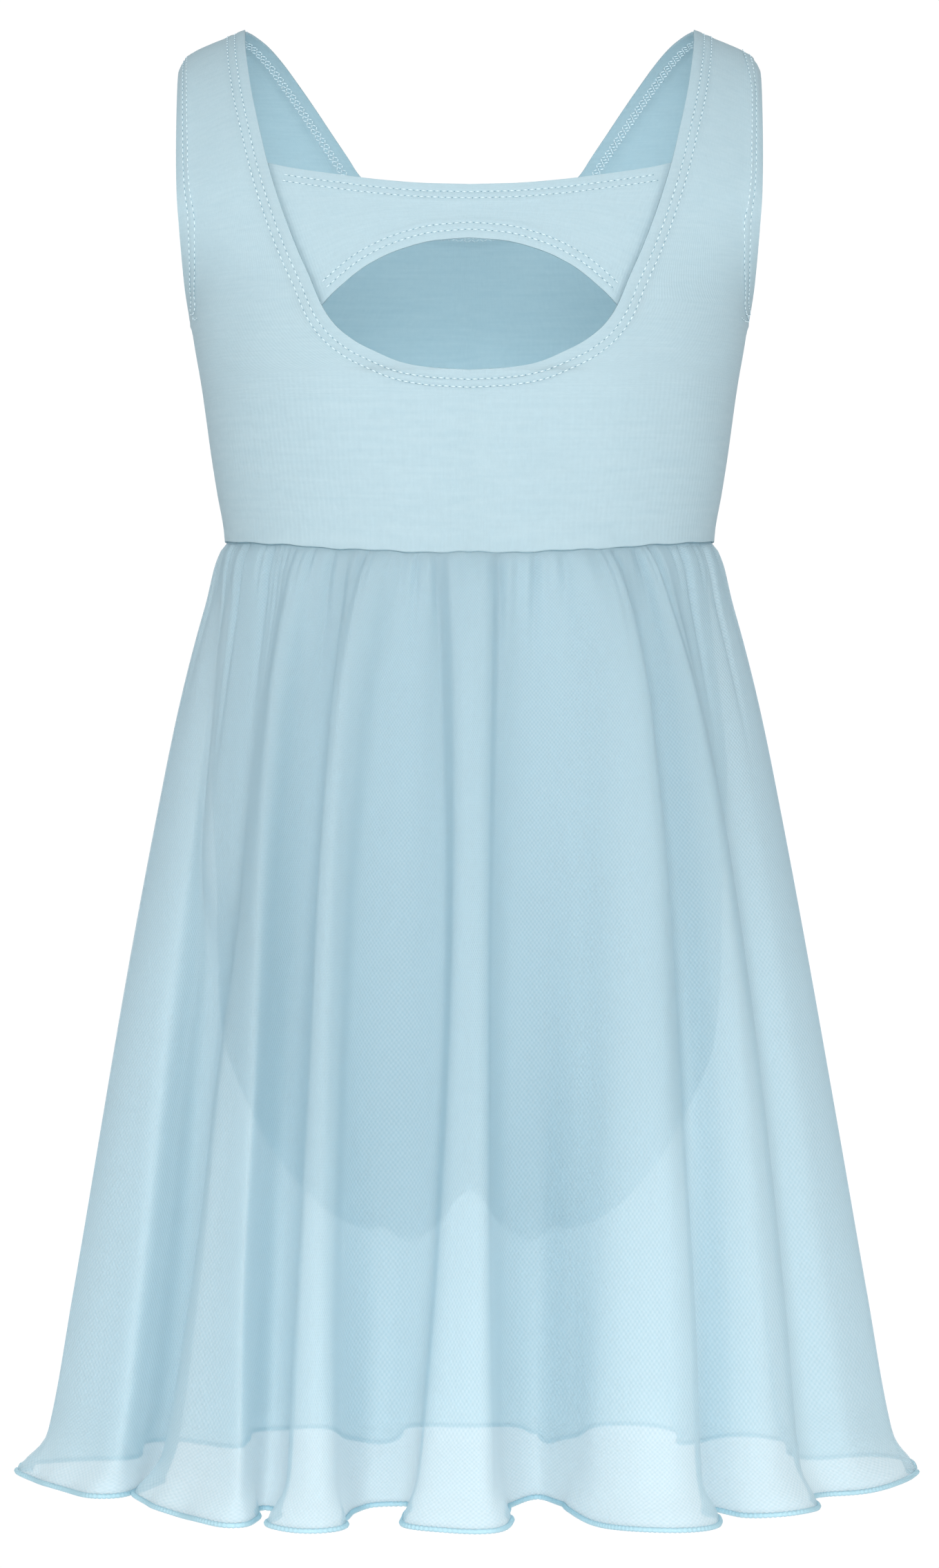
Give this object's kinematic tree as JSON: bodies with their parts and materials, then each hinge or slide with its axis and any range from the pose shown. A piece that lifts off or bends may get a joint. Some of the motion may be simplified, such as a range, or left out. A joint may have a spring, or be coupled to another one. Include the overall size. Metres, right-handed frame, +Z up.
{
  "type": "ballet dress",
  "caption": "Child's sleeveless ballet dress: jersey bodice with wide straps, a band across the scooped back, gathered chiffon skirt and attached brief, filled out as if worn.",
  "frame": {"origin": "midway between the two shoulder seams, level with the undersides of the straps at their neck ends, where the dress hangs on the wearer's shoulders", "axes": "+Z up towards the shoulders and along the dress's length; -Y out of the back of the dress, the side pictured; +Y out of its front; +X towards the wearer's right"},
  "size_m": [0.35, 0.2882, 0.5757],
  "materials": {
    "bodice_back": "matt cotton jersey",
    "bodice_front": "matt cotton jersey",
    "back_band": "matt cotton jersey",
    "skirt_back": "sheer chiffon",
    "skirt_front": "sheer chiffon",
    "brief_back": "matt cotton jersey",
    "brief_front": "matt cotton jersey"
  },
  "bodies": {
    "root": {"bodice_back": "bodice_back", "bodice_front": "bodice_front", "back_band": "back_band", "skirt_back": "skirt_back", "skirt_front": "skirt_front", "brief_back": "brief_back", "brief_front": "brief_front"}
  },
  "joints": []
}
